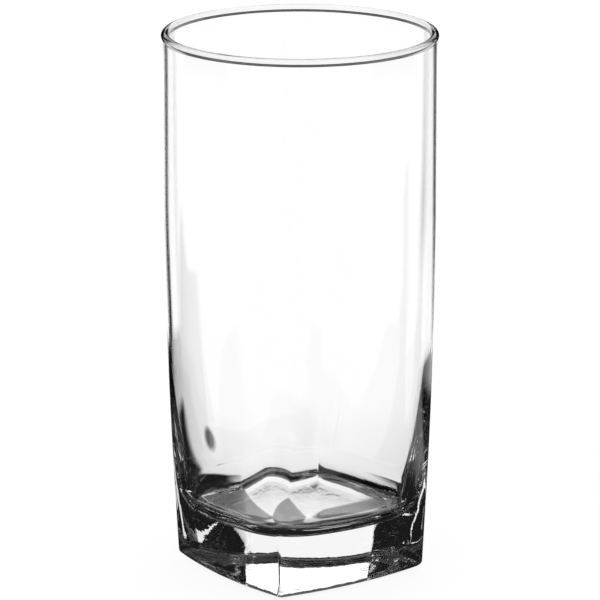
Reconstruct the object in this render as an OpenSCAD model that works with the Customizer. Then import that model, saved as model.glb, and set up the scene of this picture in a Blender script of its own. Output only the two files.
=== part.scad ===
// Tall drinking glass in clear pressed glass: round at the mouth, square with bowed sides at the foot.
// It is one closed shell: rings of the same point count run from the middle of the underside, up the
// outside, over the rim bead, down the inside and across the floor. Every ring is level.
// Millimetres, Z up. The glass stands on z = 0 and its axis is x = y = 0. The faces of the foot look
// along X and Y.

/* [Overall] */
// Height from the table to the top of the rim
glass_h = 133; // [115:1:160]
// Outside radius of the round upper body
body_r = 32.8; // [31:0.1:36]
// Height above the table at which the outside has become fully round
round_h = 87.5; // [70:0.5:100]

/* [Wall and rim] */
// Wall thickness of the round upper body
wall_t = 1.35; // [1:0.05:2.5]
// How far the rim bead stands out from the wall
bead_proud = 0.4; // [0.1:0.05:0.8]
// How far the rim bead stands in from the wall
bead_inner = 0.25; // [0:0.05:0.6]

/* [Foot, outside] */
// From the axis to the middle of a side of the foot
foot_side = 23.65; // [22.5:0.05:25]
// From the axis to a corner of the foot
foot_corner = 30.3; // [28.5:0.1:31]
// How fast the corners reach the round body: the corner distance that their curve is drawn towards
shoulder_corner = 32.75; // [32:0.05:33.5]
// Height up to which the corners keep their crease
crease_h = 14.3; // [8:0.1:30]
// Radius of the rounded edge between the sides and the underside
heel_r = 2.1; // [1:0.1:4]

/* [Underside] */
// Width of the flat band that the glass stands on
bearing_w = 2; // [1:0.1:6]
// How far the underside rises from that band to its middle
hollow_rise = 0.3; // [0.1:0.05:3]

/* [Inside] */
// Thickness of glass under the edge of the floor
floor_t = 14.3; // [10:0.1:20]
// How far the middle of the floor lies below its edge
floor_dip = 1; // [0:0.1:3]
// Radius between the floor and the inside wall
floor_fillet_r = 5; // [1:0.1:8]
// Wall thickness at the middle of a side, level with the floor
low_side_t = 4.2; // [3:0.1:6]
// Wall thickness at a corner, level with the floor
low_corner_t = 6.4; // [4:0.1:7]
// Height above which the wall has its upper thickness
thin_h = 60.5; // [45:0.5:85]

/* [Hidden] */

// Swing of the side arcs, as a share of the swing at which the corners would be sharp edges
foot_swing_share = 0.9;
round_swing_share = 0.6;
inside_swing_share = 0.25;
// How quickly the crease fades above its height: the power of the way up
fade_share = 0.6;

// Rings along each stretch of the profile
hollow_rings = 4;
heel_rings = 5;
outside_rings = 16;
bead_rings = 5;
inside_rings = 16;
fillet_rings = 6;
floor_rings = 4;
// Points along half a side arc and half a corner arc
side_points = 5;
corner_points = 4;

bead_d = wall_t + bead_proud + bead_inner;
bead_r = bead_d / 2;
bead_mid_r = body_r + bead_proud - bead_r;
bead_mid_h = glass_h - bead_r;
inside_r = body_r - wall_t;

// Where the bead meets the wall outside and inside, and its top, as angles round the bead
bead_start = -acos((body_r - bead_mid_r) / bead_r);
bead_top = 90;
bead_end = 180 + acos((bead_mid_r - inside_r) / bead_r);

// Quadratic curve from a to c, drawn towards b
function drawn(a, b, c, t) = a * (1 - t) * (1 - t) + 2 * b * t * (1 - t) + c * t * t;
// Quarter of a sine wave from a to b
function eased(a, b, t) = a + (b - a) * sin(90 * t);
// Part of the way from a height up to another, kept between 0 and 1
function way(low, high, height) = min(max((height - low) / (high - low), 0), 1);

// A ring is [height, distance to a side, distance to a corner, swing share]. Each side is one long arc
// and each corner a short one, and they meet without a kink.
function half_side(ring) =
    let (swing = ring[3] * 2 * atan(sqrt(2) * ring[1] / ring[2] - 1))
    let (lean = (1 + tan(swing / 2)) / sqrt(2))
    let (corner_r = (ring[1] - ring[2] * lean) / (1 - lean))
    let (corner_mid = (ring[2] - corner_r) / sqrt(2))
    let (side_r = corner_r + corner_mid / sin(swing))
    concat(
        [
            for (i = [0 : side_points - 1])
                let (a = swing * i / side_points)
                [ring[1] - side_r + side_r * cos(a), side_r * sin(a)]
        ],
        [
            for (i = [0 : corner_points])
                let (a = swing + (45 - swing) * i / corner_points)
                [corner_mid + corner_r * cos(a), corner_mid + corner_r * sin(a)]
        ]
    );

// Closed outline of a ring: the half side, its mirror image, and both turned through four quarters
function ring_points(ring) =
    let (half = half_side(ring))
    let (last = len(half) - 1)
    let (quarter = concat(half, [for (i = [1 : last - 1]) let (p = half[last - i]) [p[1], p[0]]]))
    [for (q = [0 : 3]) for (p = quarter) turned(p, 90 * q, ring[0])];

function turned(p, angle, height) =
    [p[0] * cos(angle) - p[1] * sin(angle), p[0] * sin(angle) + p[1] * cos(angle), height];

// Level ring drawn in from an outline by a width at its sides and in step at its corners
function drawn_in(height, outline, width) =
    let (part = (outline[1] - width) / outline[1])
    [height, outline[1] * part, outline[2] * part, outline[3]];

// Outline of the outside at a height
function outside_at(height) =
    let (t = way(heel_r, round_h, height))
    let (fade = pow(way(crease_h, round_h, height), fade_share))
    [
        height,
        eased(foot_side, body_r, t),
        drawn(foot_corner, shoulder_corner, body_r, t),
        foot_swing_share + (round_swing_share - foot_swing_share) * fade
    ];

// Outline of the inside at a height: the outside less a wall that thickens towards the floor
function inside_at(height) =
    let (outer = outside_at(height))
    let (t = 1 - way(floor_t, thin_h, height))
    [
        height,
        outer[1] - wall_t - (low_side_t - wall_t) * t * t,
        outer[2] - wall_t - (low_corner_t - wall_t) * t * t,
        eased(outer[3], inside_swing_share, t)
    ];

foot_outline = outside_at(0);
hollow_side = foot_side - heel_r - bearing_w;
underside = [
    for (i = [1 : hollow_rings])
        let (t = i / hollow_rings)
        drawn_in(hollow_rise * (1 - t * t), foot_outline, foot_side - hollow_side * t)
];

heel = [
    for (i = [0 : heel_rings])
        let (a = 90 * i / heel_rings)
        drawn_in(heel_r * (1 - cos(a)), foot_outline, heel_r * (1 - sin(a)))
];

outside = [for (i = [1 : outside_rings]) outside_at(heel_r + (round_h - heel_r) * i / outside_rings)];

bead_angles = concat(
    [for (i = [0 : bead_rings]) bead_start + (bead_top - bead_start) * i / bead_rings],
    [for (i = [1 : bead_rings]) bead_top + (bead_end - bead_top) * i / bead_rings]
);
bead = [
    for (a = bead_angles)
        let (r = bead_mid_r + bead_r * cos(a))
        [bead_mid_h + bead_r * sin(a), r, r, round_swing_share]
];

floor_edge_h = floor_t + floor_fillet_r;
inside = [
    for (i = [0 : inside_rings])
        inside_at(round_h + (floor_edge_h - round_h) * i / inside_rings)
];

floor_outline = inside_at(floor_edge_h);
floor_fillet = [
    for (i = [1 : fillet_rings])
        let (a = 90 * i / fillet_rings)
        drawn_in(floor_edge_h - floor_fillet_r * sin(a), floor_outline, floor_fillet_r * (1 - cos(a)))
];

floor_side = floor_outline[1] - floor_fillet_r;
floor_top = [
    for (i = [1 : floor_rings])
        let (t = 1 - i / (floor_rings + 1))
        drawn_in(floor_t - floor_dip * (1 - t * t), floor_outline, floor_outline[1] - floor_side * t)
];

rings = concat(underside, heel, outside, bead, inside, floor_fillet, floor_top);

// Closed shell through a list of rings, with a middle point below the first and above the last
module ring_shell(list, first_mid, last_mid) {
    n = len(ring_points(list[0]));
    last = len(list) - 1;
    points = concat([for (ring = list) each ring_points(ring)], [first_mid, last_mid]);
    sides = [
        for (i = [0 : last - 1])
            for (j = [0 : n - 1])
                let (a = i * n + j)
                let (b = i * n + (j + 1) % n)
                each [[a, a + n, b], [b, a + n, b + n]]
    ];
    first_cap = [for (j = [0 : n - 1]) [len(points) - 2, j, (j + 1) % n]];
    last_cap = [for (j = [0 : n - 1]) [len(points) - 1, last * n + (j + 1) % n, last * n + j]];
    polyhedron(points = points, faces = concat(sides, first_cap, last_cap), convexity = 6);
}

// The whole glass: foot, wall, rim bead and floor are one piece
module tumbler()
    color([0.93, 0.95, 0.95, 0.35])
    ring_shell(rings, [0, 0, hollow_rise], [0, 0, floor_t - floor_dip]);

tumbler();
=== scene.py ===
"""Tall clear drinking glass, round at the mouth and square at the foot, on a white table."""
import math
import random

import bmesh
import bpy
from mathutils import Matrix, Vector


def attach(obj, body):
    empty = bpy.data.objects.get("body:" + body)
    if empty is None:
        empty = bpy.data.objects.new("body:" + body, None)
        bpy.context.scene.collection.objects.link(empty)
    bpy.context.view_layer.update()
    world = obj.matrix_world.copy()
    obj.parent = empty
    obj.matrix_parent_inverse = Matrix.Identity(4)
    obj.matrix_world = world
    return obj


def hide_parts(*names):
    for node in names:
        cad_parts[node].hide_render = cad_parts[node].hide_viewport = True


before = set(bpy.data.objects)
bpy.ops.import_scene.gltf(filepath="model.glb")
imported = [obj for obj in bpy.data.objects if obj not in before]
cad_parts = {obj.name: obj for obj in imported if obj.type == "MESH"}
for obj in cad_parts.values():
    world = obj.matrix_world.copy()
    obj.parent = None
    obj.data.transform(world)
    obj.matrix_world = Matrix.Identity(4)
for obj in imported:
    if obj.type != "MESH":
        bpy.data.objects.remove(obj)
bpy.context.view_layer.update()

MM = 0.001

# Sizes of the glass in millimetres, as in the part's source
GLASS_H = 133.0  # height from the table to the top of the rim
BODY_R = 32.8  # outside radius of the round upper body
ROUND_H = 87.5  # height at which the outside has become fully round
WALL_T = 1.35  # wall thickness of the round upper body
BEAD_PROUD = 0.4  # how far the rim bead stands out from the wall
BEAD_INNER = 0.25  # how far it stands in from the wall
FOOT_SIDE = 23.65  # from the axis to the middle of a side of the foot
FOOT_CORNER = 30.3  # from the axis to a corner of the foot
SHOULDER_CORNER = 32.75  # corner distance that the corners' curve is drawn towards
CREASE_H = 14.3  # height up to which the corners keep their crease
HEEL_R = 2.1  # radius of the edge between the sides and the underside
BEARING_W = 2.0  # width of the flat band that the glass stands on
HOLLOW_RISE = 0.3  # how far the underside rises from that band to its middle
FLOOR_T = 14.3  # thickness of glass under the edge of the floor
FLOOR_DIP = 1.0  # how far the middle of the floor lies below its edge
FLOOR_FILLET_R = 5.0  # radius between the floor and the inside wall
LOW_SIDE_T = 4.2  # wall thickness at the middle of a side, level with the floor
LOW_CORNER_T = 6.4  # wall thickness at a corner, level with the floor
THIN_H = 60.5  # height above which the wall has its upper thickness

# Swing of the side arcs, as a share of the swing at which the corners would be sharp edges
FOOT_SWING = 0.95
ROUND_SWING = 0.6
INSIDE_SWING = 0.25
# How quickly the crease fades above its height: the power of the way up
FADE = 0.6

# Points along half a side arc and half a corner arc
SIDE_POINTS = 28
CORNER_POINTS = 20
# Rings along each stretch of the profile
HOLLOW_RINGS = 20
HEEL_RINGS = 16
OUTSIDE_RINGS = 90
BEAD_RINGS = 48
INSIDE_RINGS = 90
FILLET_RINGS = 20
FLOOR_RINGS = 24
# Places of the rings on the straight wall between the round height and the bead
WALL_SHARES = (0.25, 0.5, 0.75, 0.9, 0.96, 0.98, 0.99, 0.995)

# Raggedness of the heel: depth and height above which it is gone, in millimetres
RAGGED = 0.2
RAGGED_TOP = 5.0
RAGGED_SEED = 11
# Its ripples: points on either side that each is smoothed over, and its share
RIPPLES = ((1, 0.8), (4, 0.6))


def eased(a, b, t):
    """Quarter of a sine wave from a to b."""
    return a + (b - a) * math.sin(math.pi / 2 * t)


def drawn(a, b, c, t):
    """Quadratic curve from a to c, drawn towards b."""
    return a * (1 - t) ** 2 + 2 * b * t * (1 - t) + c * t * t


def way(low, high, height):
    """Part of the way from a height up to another, kept between 0 and 1."""
    return min(max((height - low) / (high - low), 0.0), 1.0)


# A ring is (height, distance to a side, distance to a corner, swing share)
def half_side(side, corner, share):
    """Points of an eighth of a section: half a side arc and half a corner arc, which meet without a kink."""
    swing = share * 2 * math.atan(math.sqrt(2) * side / corner - 1)
    lean = (1 + math.tan(swing / 2)) / math.sqrt(2)
    corner_r = (side - corner * lean) / (1 - lean)
    mid = (corner - corner_r) / math.sqrt(2)
    side_r = corner_r + mid / math.sin(swing)
    points = []
    for i in range(SIDE_POINTS):
        a = swing * i / SIDE_POINTS
        points.append((side - side_r + side_r * math.cos(a), side_r * math.sin(a)))
    for i in range(CORNER_POINTS + 1):
        a = swing + (math.pi / 4 - swing) * i / CORNER_POINTS
        points.append((mid + corner_r * math.cos(a), mid + corner_r * math.sin(a)))
    return points


def ring_points(ring):
    """Closed outline of a ring: the half side and its mirror image, turned through four quarters."""
    height, side, corner, share = ring
    half = half_side(side, corner, share)
    quarter = half + [(y, x) for x, y in half[-2:0:-1]]
    points = []
    for q in range(4):
        c, s = round(math.cos(q * math.pi / 2)), round(math.sin(q * math.pi / 2))
        points += [(x * c - y * s, x * s + y * c, height) for x, y in quarter]
    return points


def drawn_in(height, outline, width):
    """Level ring drawn in from an outline by a width at its sides and in step at its corners."""
    part = (outline[1] - width) / outline[1]
    return (height, outline[1] * part, outline[2] * part, outline[3])


def outside_at(height):
    t = way(HEEL_R, ROUND_H, height)
    fade = way(CREASE_H, ROUND_H, height) ** FADE
    return (height, eased(FOOT_SIDE, BODY_R, t), drawn(FOOT_CORNER, SHOULDER_CORNER, BODY_R, t),
            FOOT_SWING + (ROUND_SWING - FOOT_SWING) * fade)


def inside_at(height):
    """The outside less a wall that thickens towards the floor."""
    _, side, corner, share = outside_at(height)
    t = 1 - way(FLOOR_T, THIN_H, height)
    return (height, side - WALL_T - (LOW_SIDE_T - WALL_T) * t * t,
            corner - WALL_T - (LOW_CORNER_T - WALL_T) * t * t, eased(share, INSIDE_SWING, t))


def round_ring(height, radius):
    return (height, radius, radius, ROUND_SWING)


def outer_rings():
    """Rings from the middle of the underside over the heel and up to the round height."""
    foot = outside_at(0)
    hollow_side = FOOT_SIDE - HEEL_R - BEARING_W
    rings = []
    for i in range(1, HOLLOW_RINGS + 1):
        t = i / HOLLOW_RINGS
        rings.append(drawn_in(HOLLOW_RISE * (1 - t * t), foot, FOOT_SIDE - hollow_side * t))
    for i in range(HEEL_RINGS + 1):
        a = math.pi / 2 * i / HEEL_RINGS
        rings.append(drawn_in(HEEL_R * (1 - math.cos(a)), foot, HEEL_R * (1 - math.sin(a))))
    for i in range(1, OUTSIDE_RINGS + 1):
        rings.append(outside_at(HEEL_R + (ROUND_H - HEEL_R) * i / OUTSIDE_RINGS))
    return rings


def upper_rings():
    """Rings of the round wall: up the outside, over the bead and down the inside."""
    bead_r = (WALL_T + BEAD_PROUD + BEAD_INNER) / 2
    mid_r = BODY_R + BEAD_PROUD - bead_r
    mid_h = GLASS_H - bead_r
    inside_r = BODY_R - WALL_T
    start = -math.acos((BODY_R - mid_r) / bead_r)
    end = math.pi + math.acos((mid_r - inside_r) / bead_r)
    low_out = mid_h + bead_r * math.sin(start)
    low_in = mid_h + bead_r * math.sin(end)
    rings = [round_ring(ROUND_H + (low_out - ROUND_H) * share, BODY_R) for share in WALL_SHARES]
    for i in range(BEAD_RINGS + 1):
        a = start + (end - start) * i / BEAD_RINGS
        rings.append(round_ring(mid_h + bead_r * math.sin(a), mid_r + bead_r * math.cos(a)))
    rings += [round_ring(ROUND_H + (low_in - ROUND_H) * share, inside_r) for share in reversed(WALL_SHARES)]
    return rings


def inner_rings():
    """Rings from the round height down the inside, round the fillet and across the floor."""
    edge_h = FLOOR_T + FLOOR_FILLET_R
    edge = inside_at(edge_h)
    rings = [inside_at(ROUND_H + (edge_h - ROUND_H) * i / INSIDE_RINGS) for i in range(INSIDE_RINGS + 1)]
    for i in range(1, FILLET_RINGS + 1):
        a = math.pi / 2 * i / FILLET_RINGS
        height = edge_h - FLOOR_FILLET_R * math.sin(a)
        rings.append(drawn_in(height, edge, FLOOR_FILLET_R * (1 - math.cos(a))))
    floor = rings[-1]
    for i in range(1, FLOOR_RINGS):
        t = 1 - i / FLOOR_RINGS
        rings.append(drawn_in(FLOOR_T - FLOOR_DIP * (1 - t * t), floor, floor[1] * (1 - t)))
    return rings


def ragged_line(count):
    """Closed run of seeded unevenness about zero: fine ripples on slower ones."""
    rnd = random.Random(RAGGED_SEED)
    line = [0.0] * count
    for reach, share in RIPPLES:
        raw = [rnd.gauss(0, 1) for _ in range(count)]
        spread = math.sqrt(2 * reach + 1)
        for j in range(count):
            line[j] += share * sum(raw[(j + k) % count] for k in range(-reach, reach + 1)) / spread
    return line


def ragged_ring(ring, line):
    """The mould leaves the heel ragged: the points of its rings move up and down."""
    height = ring[0][2]
    if height >= RAGGED_TOP:
        return ring
    part = RAGGED * math.sin(math.pi * height / RAGGED_TOP) ** 2
    return [(x, y, z + part * up) for (x, y, z), up in zip(ring, line)]


def build_glass():
    rings = [ring_points(ring) for ring in outer_rings() + upper_rings() + inner_rings()]
    line = ragged_line(len(rings[0]))
    rings = rings[:HOLLOW_RINGS] + [ragged_ring(ring, line) for ring in rings[HOLLOW_RINGS:]]
    bm = bmesh.new()
    loops = [[bm.verts.new((x * MM, y * MM, z * MM)) for x, y, z in ring] for ring in rings]
    n = len(loops[0])
    for low, high in zip(loops, loops[1:]):
        for j in range(n):
            k = (j + 1) % n
            bm.faces.new((low[j], low[k], high[k], high[j]))
    first = bm.verts.new((0, 0, HOLLOW_RISE * MM))
    last = bm.verts.new((0, 0, (FLOOR_T - FLOOR_DIP) * MM))
    for j in range(n):
        k = (j + 1) % n
        bm.faces.new((first, loops[0][k], loops[0][j]))
        bm.faces.new((last, loops[-1][j], loops[-1][k]))
    bmesh.ops.recalc_face_normals(bm, faces=bm.faces)
    mesh = bpy.data.meshes.new("clear_tumbler")
    bm.to_mesh(mesh)
    bm.free()
    mesh.shade_smooth()
    ob = bpy.data.objects.new("clear_tumbler", mesh)
    bpy.context.scene.collection.objects.link(ob)
    return ob


# Small helpers for shader nodes
def link(nt, value, socket):
    if isinstance(value, (int, float)):
        socket.default_value = value
    else:
        nt.links.new(value, socket)


def maths(nt, op, a, b=0.0):
    n = nt.nodes.new("ShaderNodeMath")
    n.operation = op
    link(nt, a, n.inputs[0])
    link(nt, b, n.inputs[1])
    return n.outputs[0]


def chained(nt, op, values):
    total = values[0]
    for value in values[1:]:
        total = maths(nt, op, total, value)
    return total


def plus(nt, *values):
    return chained(nt, "ADD", values)


def times(nt, *values):
    return chained(nt, "MULTIPLY", values)


def most(nt, *values):
    return chained(nt, "MAXIMUM", values)


def minus(nt, a, b):
    return maths(nt, "SUBTRACT", a, b)


def ramp(nt, value, low, high):
    """Smooth rise from zero at a low value to one at a high value."""
    n = nt.nodes.new("ShaderNodeMapRange")
    n.interpolation_type = "SMOOTHSTEP"
    n.inputs["From Min"].default_value = low
    n.inputs["From Max"].default_value = high
    link(nt, value, n.inputs["Value"])
    return n.outputs[0]


def drop(nt, value, low, high):
    """Smooth fall from one at a low value to zero at a high value."""
    return minus(nt, 1.0, ramp(nt, value, low, high))


def mixed(nt, share, a, b):
    n = nt.nodes.new("ShaderNodeMix")
    n.data_type = "FLOAT"
    link(nt, share, n.inputs[0])
    link(nt, a, n.inputs[2])
    link(nt, b, n.inputs[3])
    return n.outputs[0]


def noise(nt, place, scale, detail):
    n = nt.nodes.new("ShaderNodeTexNoise")
    n.inputs["Scale"].default_value = scale
    n.inputs["Detail"].default_value = detail
    nt.links.new(place, n.inputs["Vector"])
    return n.outputs[0]


# Camera, fitted to the outline of the glass in the photograph: angles in radians, places in metres, and the
# focal length and sensor in millimetres
VIEW_AZ = math.radians(-35.73)
PITCH = 0.2641
LENS = 277.02
SENSOR_W = 36.0
CAMERA_DISTANCE = 1.07949
CAMERA_H = 0.358393
NEAREST = 0.01
FARTHEST = 100.0
# Level direction from the camera to the glass
AWAY = (-math.sin(VIEW_AZ), math.cos(VIEW_AZ))


def make_camera():
    data = bpy.data.cameras.new("camera")
    data.sensor_width = SENSOR_W
    data.lens = LENS
    data.clip_start = NEAREST
    data.clip_end = FARTHEST
    camera = bpy.data.objects.new("camera", data)
    bpy.context.scene.collection.objects.link(camera)
    camera.location = (-AWAY[0] * CAMERA_DISTANCE, -AWAY[1] * CAMERA_DISTANCE, CAMERA_H)
    forward = Vector((AWAY[0] * math.cos(PITCH), AWAY[1] * math.cos(PITCH), -math.sin(PITCH)))
    camera.rotation_euler = forward.to_track_quat("-Z", "Y").to_euler()
    bpy.context.scene.camera = camera


make_camera()

GLASS_IOR = 1.5
# Slow waves in the glass: scale per metre, detail, depth in millimetres, and heights in metres at which they
# fade
WAVE_SCALE = 70.0
WAVE_DETAIL = 1.0
WAVE_DEPTH = 0.012
WAVE_FADE = (0.09, 0.12)
# Chill marks that a mould leaves: the same, with depths and fading heights on the foot and the underside
MARK_SCALE = 400.0
MARK_DETAIL = 3.0
MARK_FOOT = 0.015
FOOT_FADE = (0.012, 0.022)
MARK_UNDER = 0.03
UNDER_FADE = (0.0018, 0.0024)


def glass_material():
    mat = bpy.data.materials.new("clear_glass")
    mat.use_nodes = True
    nt = mat.node_tree
    nt.nodes.clear()
    bsdf = nt.nodes.new("ShaderNodeBsdfPrincipled")
    bsdf.inputs["Base Color"].default_value = (1.0, 1.0, 1.0, 1.0)
    bsdf.inputs["Roughness"].default_value = 0.0
    bsdf.inputs["IOR"].default_value = GLASS_IOR
    bsdf.inputs["Transmission Weight"].default_value = 1.0
    tc = nt.nodes.new("ShaderNodeTexCoord")
    sep = nt.nodes.new("ShaderNodeSeparateXYZ")
    nt.links.new(tc.outputs["Object"], sep.inputs[0])
    height = sep.outputs[2]
    waves = times(nt, noise(nt, tc.outputs["Object"], WAVE_SCALE, WAVE_DETAIL),
                  drop(nt, height, *WAVE_FADE), WAVE_DEPTH)
    depth = plus(nt, times(nt, drop(nt, height, *FOOT_FADE), MARK_FOOT),
                 times(nt, drop(nt, height, *UNDER_FADE), MARK_UNDER))
    marks = times(nt, noise(nt, tc.outputs["Object"], MARK_SCALE, MARK_DETAIL), depth)
    bump = nt.nodes.new("ShaderNodeBump")
    bump.inputs["Strength"].default_value = 1.0
    bump.inputs["Distance"].default_value = MM
    nt.links.new(plus(nt, waves, marks), bump.inputs["Height"])
    nt.links.new(bump.outputs[0], bsdf.inputs["Normal"])
    out = nt.nodes.new("ShaderNodeOutputMaterial")
    nt.links.new(bsdf.outputs[0], out.inputs["Surface"])
    return mat


tumbler = build_glass()
tumbler.data.materials.append(glass_material())
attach(tumbler, "root")
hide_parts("tumbler")


# The table and the room are white to the camera. Through the glass, light that came straight sees a few
# places of painted shade on them, and light that was reflected in the glass sees a painted dim room with a
# painted window.
# Angles are in degrees from the line of sight, level unless said, and distances on the table in metres.

# Light that has more reflections than this was reflected in the glass: the room counts one more
TABLE_LIMIT = 0.5
ROOM_LIMIT = 1.5
# Light that crossed fewer surfaces than this went through one wall only
ONE_WALL = 2.5
# Edges of a sector that starts ahead or reaches all the way round
FROM_AHEAD = (-1, 0)
TO_BEHIND = (181, 182)
# Least brightness, and least distances to divide by
LEAST = 0.01
LEAST_RADIUS = 1e-6
LEAST_BACK = 0.001


def through_glass(nt):
    """One for light that comes from the glass, and zero for what the camera sees directly."""
    path = nt.nodes.new("ShaderNodeLightPath")
    return most(nt, path.outputs["Is Glossy Ray"], path.outputs["Is Transmission Ray"])


def reflected(nt, limit):
    """One for light that was reflected on its way through the glass, and zero for all that came straight."""
    path = nt.nodes.new("ShaderNodeLightPath")
    turns = minus(nt, path.outputs["Ray Depth"], path.outputs["Transmission Depth"])
    return times(nt, maths(nt, "GREATER_THAN", turns, limit), through_glass(nt))


def crossed_once(nt):
    """One for light that went through one wall of the glass only, and zero for what went through more."""
    path = nt.nodes.new("ShaderNodeLightPath")
    return maths(nt, "LESS_THAN", path.outputs["Transmission Depth"], ONE_WALL)


def level_place(nt, x, y):
    """Distance back and to the right of the axis, distance from it, and cosine to the line of sight."""
    back = plus(nt, times(nt, x, AWAY[0]), times(nt, y, AWAY[1]))
    side = plus(nt, times(nt, x, AWAY[1]), times(nt, y, -AWAY[0]))
    radius = maths(nt, "SQRT", plus(nt, times(nt, x, x), times(nt, y, y)))
    return back, side, radius, maths(nt, "DIVIDE", back, most(nt, radius, LEAST_RADIUS))


def sector(nt, turn, *edges):
    """One between two angles to the line of sight, and zero outside, from the cosine in turn. It rises over
    the first two edges and falls over the last two."""
    c = [math.cos(math.radians(min(max(v, 0), 180))) - max(v - 180, 0) - min(v, 0) for v in edges]
    return times(nt, drop(nt, turn, c[1], c[0]), ramp(nt, turn, c[3], c[2]))


# The horizon is painted dark ahead and across: painted shade that only light through the glass sees
HORIZON_AHEAD = (26, 32)
HORIZON_ACROSS = (66, 74, 112, 120)


def horizon(nt, turn):
    ahead = sector(nt, turn, *FROM_AHEAD, *HORIZON_AHEAD)
    return minus(nt, 1.0, most(nt, ahead, sector(nt, turn, *HORIZON_ACROSS)))


# Painted light strip on the table under the glass, seen only through the glass: half width, where it starts
# to spread and how fast, and the same further on
STRIP_LEFT = (0.0150, 0.029, 1.5, 0.046, 0.384)
STRIP_RIGHT = (0.0159, 0.038, 6.0, 0.1, 6.0)
STRIP_EDGE = (-0.001, 0.0065)
# Directions in which the painted strip is white, and further round grey
WHITE_LEFT, GREY_LEFT = (38, 44), (112, 130)
WHITE_RIGHT, GREY_RIGHT = (48, 56), (68, 80)
GREY = 0.26
# Radius at which the strip ends for reflected light
STRIP_R = (0.021, 0.025)


def strip_masks(nt, back, side, left, right, turn):
    """The painted light strip with its spread behind the glass, and without it."""
    straight_out, spread_out = [], []
    for sign, (width, start, spread, stop, spread_after) in ((-1.0, STRIP_LEFT), (1.0, STRIP_RIGHT)):
        out = minus(nt, times(nt, side, sign), width)
        before = maths(nt, "MINIMUM", most(nt, minus(nt, back, start), 0.0), stop - start)
        after = most(nt, minus(nt, back, stop), 0.0)
        widening = plus(nt, times(nt, before, spread), times(nt, after, spread_after))
        straight_out.append(ramp(nt, out, *STRIP_EDGE))
        spread_out.append(ramp(nt, minus(nt, out, widening), *STRIP_EDGE))
    level = 0.0
    for white, grey, on in ((WHITE_LEFT, GREY_LEFT, left), (WHITE_RIGHT, GREY_RIGHT, right)):
        wide = times(nt, sector(nt, turn, *FROM_AHEAD, *grey), GREY)
        level = plus(nt, level, times(nt, most(nt, sector(nt, turn, *FROM_AHEAD, *white), wide), on))
    return [times(nt, minus(nt, 1.0, most(nt, *outs)), level) for outs in (spread_out, straight_out)]


# Painted dark panels on the table, painted shade that only light reflected in the glass sees. Angles at which
# each starts, near the glass and far from it, and the same for where it ends. Near and far are the two radii
# set below.
PAINTED_CARD_LEFT = ((31.0, 21.0), (43.0, 32.0))
PAINTED_CARD_RIGHT = ((24.5, 14.3), (28.1, 28.1))
PAINTED_CARD_FAR = (0.12, 0.42)
# Half widths of their soft edges, as tangents
PAINTED_CARD_START_EDGE = 0.02
PAINTED_CARD_END_EDGE = 0.03


def painted_card(nt, slope, far, edges):
    """Dark panel painted on the table that only light reflected in the glass sees: painted shade that draws
    the edges of the glass.
    """
    past = []
    for near_angle, far_angle in edges:
        near_slope, far_slope = math.tan(math.radians(near_angle)), math.tan(math.radians(far_angle))
        past.append(minus(nt, slope, plus(nt, times(nt, far, far_slope - near_slope), near_slope)))
    return times(nt, ramp(nt, past[0], -PAINTED_CARD_START_EDGE, PAINTED_CARD_START_EDGE),
                 drop(nt, past[1], -PAINTED_CARD_END_EDGE, PAINTED_CARD_END_EDGE))


# Painted shadow in the middle of the table, under the glass, for straight light, seen only through the glass:
# radius and soft edge, and what is added to the radius ahead and in a painted dark wedge on the left, each
# with its sides
DARK_R = 0.036
DARK_EDGE = 0.012
DARK_AHEAD = 0.032
DARK_AHEAD_SIDES = (70, 80)
WEDGE_R = 0.037
WEDGE = (24, 31, 62, 72)
# Painted dark oval patch on the table, a painted reflection that only light through the glass sees, that
# draws the dark
# mark low on the left: place, half widths, softness and brightness
PAINTED_SPOT_SIDE = -0.0315
PAINTED_SPOT_BACK = 0.073
PAINTED_SPOT_HALF_W = 0.0043
PAINTED_SPOT_HALF_L = 0.0115
PAINTED_SPOT_SOFT = 1.5
PAINTED_SPOT_LEVEL = 0.12
# Painted grey strip on the table, a painted reflection that only light through the glass sees, that draws the
# grey
# line on the right of the wall: sides, radii at which it starts and ends, depth
PAINTED_STREAK = (11.5, 15.0, 16.5, 19.0)
PAINTED_STREAK_START = (0.26, 0.38)
PAINTED_STREAK_END = (0.6, 0.75)
PAINTED_STREAK_DEPTH = 0.5


def straight_level(nt, back, side, radius, turn, left, right, strip):
    """What light sees that came straight: the painted light strip, and white beyond a small painted shadow in
    the middle.
    """
    wedge = times(nt, sector(nt, turn, *WEDGE), left, WEDGE_R)
    ahead = times(nt, sector(nt, turn, *FROM_AHEAD, *DARK_AHEAD_SIDES), DARK_AHEAD)
    outer = ramp(nt, minus(nt, radius, plus(nt, wedge, ahead)), DARK_R, DARK_R + DARK_EDGE)
    across = times(nt, minus(nt, side, PAINTED_SPOT_SIDE), 1 / PAINTED_SPOT_HALF_W)
    along = times(nt, minus(nt, back, PAINTED_SPOT_BACK), 1 / PAINTED_SPOT_HALF_L)
    from_painted_spot = plus(nt, times(nt, across, across), times(nt, along, along))
    painted_spot = most(nt, ramp(nt, from_painted_spot, 0.0, PAINTED_SPOT_SOFT), PAINTED_SPOT_LEVEL)
    painted_streak = times(nt, sector(nt, turn, *PAINTED_STREAK), right, ramp(nt, radius, *PAINTED_STREAK_START),
                   drop(nt, radius, *PAINTED_STREAK_END), PAINTED_STREAK_DEPTH)
    level = times(nt, most(nt, strip, outer), painted_spot, minus(nt, 1.0, painted_streak))
    return most(nt, level, crossed_once(nt))


# Painted shade in the middle of the table for reflected light, seen only through the glass: radius and soft
# edge, and what is added to the radius over sectors on the left, further round on the left, and on the right
RING_R = 0.075
RING_EDGE = 0.025
RING_LEFT = (0.115, 20, 26, 60, 74)
RING_ASIDE = (0.2, 56, 62, 84, 90)
RING_RIGHT = (0.075, 16, 24, 62, 74)
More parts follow.
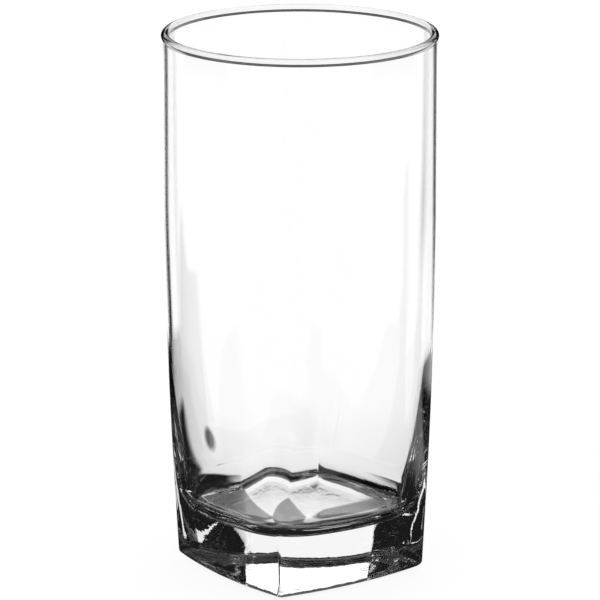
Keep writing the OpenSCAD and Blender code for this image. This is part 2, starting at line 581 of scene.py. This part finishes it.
# What is added to it near the camera, on the left and on the right
RING_NEAR = (150, 160)
RING_NEAR_LEFT = 0.05
RING_NEAR_RIGHT = 0.035
# Radius beyond which the table is painted as dark as the horizon
FAR_TABLE = (0.58, 0.7)


def reflected_level(nt, radius, turn, left, right, painted_cards, strip):
    """What light sees that was reflected: a wider painted dark middle with the painted light strip in it,
    painted dark panels and painted dark horizon.
    """
    near = plus(nt, times(nt, left, RING_NEAR_LEFT), times(nt, right, RING_NEAR_RIGHT))
    start = times(nt, sector(nt, turn, *RING_NEAR, *TO_BEHIND), near)
    for (added, *edges), on in ((RING_LEFT, left), (RING_ASIDE, left), (RING_RIGHT, right)):
        start = plus(nt, start, times(nt, sector(nt, turn, *edges), on, added))
    ring = ramp(nt, minus(nt, radius, start), RING_R, RING_R + RING_EDGE)
    far = most(nt, drop(nt, radius, *FAR_TABLE), horizon(nt, turn))
    ring = times(nt, ring, minus(nt, 1.0, most(nt, *painted_cards)), far)
    return most(nt, ring, times(nt, strip, drop(nt, radius, *STRIP_R)))


# The table itself: radius, corners, depth below the glass, and how much of its white is glow and matt
TABLE_R = 8.0
TABLE_CORNERS = 96
TABLE_DROP = 0.0002
TABLE_GLOW = 0.9
TABLE_MATT = 0.12
# Distance over which the left side of the table turns into the right
MIDDLE = (-0.01, 0.01)


def table_material():
    mat = bpy.data.materials.new("white_table")
    mat.use_nodes = True
    nt = mat.node_tree
    nt.nodes.clear()
    geo = nt.nodes.new("ShaderNodeNewGeometry")
    sep = nt.nodes.new("ShaderNodeSeparateXYZ")
    nt.links.new(geo.outputs["Position"], sep.inputs[0])
    back, side, radius, turn = level_place(nt, sep.outputs[0], sep.outputs[1])
    right = ramp(nt, side, *MIDDLE)
    left = minus(nt, 1.0, right)
    wide_strip, strip = strip_masks(nt, back, side, left, right, turn)
    slope = maths(nt, "DIVIDE", side, most(nt, back, LEAST_BACK))
    far = ramp(nt, radius, *PAINTED_CARD_FAR)
    painted_cards = [painted_card(nt, times(nt, slope, -1.0), far, PAINTED_CARD_LEFT), painted_card(nt, slope, far, PAINTED_CARD_RIGHT)]
    straight = straight_level(nt, back, side, radius, turn, left, right, wide_strip)
    bent = reflected_level(nt, radius, turn, left, right, painted_cards, strip)
    level = mixed(nt, reflected(nt, TABLE_LIMIT), straight, bent)
    # Glow of the painted shade and light that only light through the glass sees
    seen = nt.nodes.new("ShaderNodeEmission")
    nt.links.new(most(nt, level, LEAST), seen.inputs["Strength"])
    # What the camera sees directly: white, and a little of it matt so that the shadow of the glass shows
    glow = nt.nodes.new("ShaderNodeEmission")
    glow.inputs["Strength"].default_value = TABLE_GLOW
    matt = nt.nodes.new("ShaderNodeBsdfDiffuse")
    matt.inputs["Color"].default_value = (TABLE_MATT, TABLE_MATT, TABLE_MATT, 1.0)
    plain = nt.nodes.new("ShaderNodeAddShader")
    nt.links.new(glow.outputs[0], plain.inputs[0])
    nt.links.new(matt.outputs[0], plain.inputs[1])
    mix = nt.nodes.new("ShaderNodeMixShader")
    nt.links.new(through_glass(nt), mix.inputs[0])
    nt.links.new(plain.outputs[0], mix.inputs[1])
    nt.links.new(seen.outputs[0], mix.inputs[2])
    out = nt.nodes.new("ShaderNodeOutputMaterial")
    nt.links.new(mix.outputs[0], out.inputs["Surface"])
    return mat


def table():
    bm = bmesh.new()
    bmesh.ops.create_circle(bm, cap_ends=True, segments=TABLE_CORNERS, radius=TABLE_R)
    mesh = bpy.data.meshes.new("table")
    bm.to_mesh(mesh)
    bm.free()
    ob = bpy.data.objects.new("table", mesh)
    ob.location.z = -TABLE_DROP
    bpy.context.scene.collection.objects.link(ob)
    mesh.materials.append(table_material())


table()

# Painted shade in the room ahead, seen only by light that went through one wall of the glass, that draws the
# lines of
# the rim: sides, elevations at which it fades, how much
RIM_SIDES = (18.0, 26.0)
RIM_LIFT = (6.0, 7.5)
RIM_FADE = 0.12
# For reflected light: elevation where the painted dark horizon ends, elevations and brightness of the painted
# dim ceiling
HORIZON_LIFT = 3
CEILING = (30, 38)
CEILING_LEVEL = 0.05
# Painted window behind the glass, a painted reflection that only reflected light sees: elevations of its soft
# edges, its sides and its brightness
PAINTED_WINDOW_LIFT = (11.0, 12.5, 27.0, 31.0)
PAINTED_WINDOW_SIDES = (20.0, 22.5)
PAINTED_WINDOW_LEVEL = 1.3


def sines(angles):
    return [math.sin(math.radians(v)) for v in angles]


def room():
    world = bpy.data.worlds.new("room")
    bpy.context.scene.world = world
    world.use_nodes = True
    nt = world.node_tree
    nt.nodes.clear()
    tc = nt.nodes.new("ShaderNodeTexCoord")
    sep = nt.nodes.new("ShaderNodeSeparateXYZ")
    nt.links.new(tc.outputs["Generated"], sep.inputs[0])
    x, y, z = sep.outputs
    _, _, _, turn = level_place(nt, x, y)
    top = math.sin(math.radians(HORIZON_LIFT))
    # What light sees that came straight: white, and painted shade ahead for light that went through one wall
    # only
    faded = minus(nt, 1.0, times(nt, ramp(nt, z, *sines(RIM_LIFT)), RIM_FADE))
    dark = times(nt, sector(nt, turn, *FROM_AHEAD, *RIM_SIDES), ramp(nt, z, 0.0, top / 2), faded,
                 crossed_once(nt), through_glass(nt))
    # What light sees that was reflected: painted shade at the horizon, a painted dim ceiling and the painted
    # window
    low, sill, lintel, high = sines(PAINTED_WINDOW_LIFT)
    painted_pane = times(nt, ramp(nt, z, low, sill), drop(nt, z, lintel, high),
                 sector(nt, turn, *FROM_AHEAD, *PAINTED_WINDOW_SIDES), PAINTED_WINDOW_LEVEL)
    ceiling = times(nt, ramp(nt, z, *sines(CEILING)), CEILING_LEVEL)
    level = most(nt, ceiling, LEAST, times(nt, horizon(nt, turn), drop(nt, z, 0.0, top)), painted_pane)
    bg = nt.nodes.new("ShaderNodeBackground")
    bg.inputs["Color"].default_value = (1.0, 1.0, 1.0, 1.0)
    nt.links.new(mixed(nt, reflected(nt, ROOM_LIMIT), minus(nt, 1.0, dark), level), bg.inputs["Strength"])
    out = nt.nodes.new("ShaderNodeOutputWorld")
    nt.links.new(bg.outputs[0], out.inputs["Surface"])


room()

# Softbox behind the glass: distance, elevation, width, height and light per area
LAMP_AWAY = 1.5
LAMP_LIFT = math.radians(22)
LAMP_W = 1.21
LAMP_H = 0.58
LAMP_LEVEL = 1.4
# Height that it points at
LAMP_AIM_H = 0.01


def softbox():
    """Softbox behind the glass that gives its soft shadow on the table. The glass doesn't show it."""
    data = bpy.data.lights.new("window", "AREA")
    data.shape = "RECTANGLE"
    data.size = LAMP_W
    data.size_y = LAMP_H
    data.energy = LAMP_LEVEL * math.pi * LAMP_W * LAMP_H
    ob = bpy.data.objects.new("window", data)
    bpy.context.scene.collection.objects.link(ob)
    aim = Vector((AWAY[0] * math.cos(LAMP_LIFT), AWAY[1] * math.cos(LAMP_LIFT), math.sin(LAMP_LIFT)))
    ob.location = aim * LAMP_AWAY + Vector((0, 0, LAMP_AIM_H))
    ob.rotation_euler = (-aim).to_track_quat("-Z", "Y").to_euler()
    ob.visible_camera = ob.visible_glossy = ob.visible_transmission = False


softbox()

scene = bpy.context.scene
scene.view_settings.view_transform = "Standard"
# Light crosses up to a dozen glass surfaces in the foot
scene.cycles.max_bounces = 32
scene.cycles.transmission_bounces = 32
scene.cycles.glossy_bounces = 16
# Light bent by the glass onto the table is left out, so that its shadow stays soft and even
scene.cycles.caustics_reflective = False
scene.cycles.caustics_refractive = False
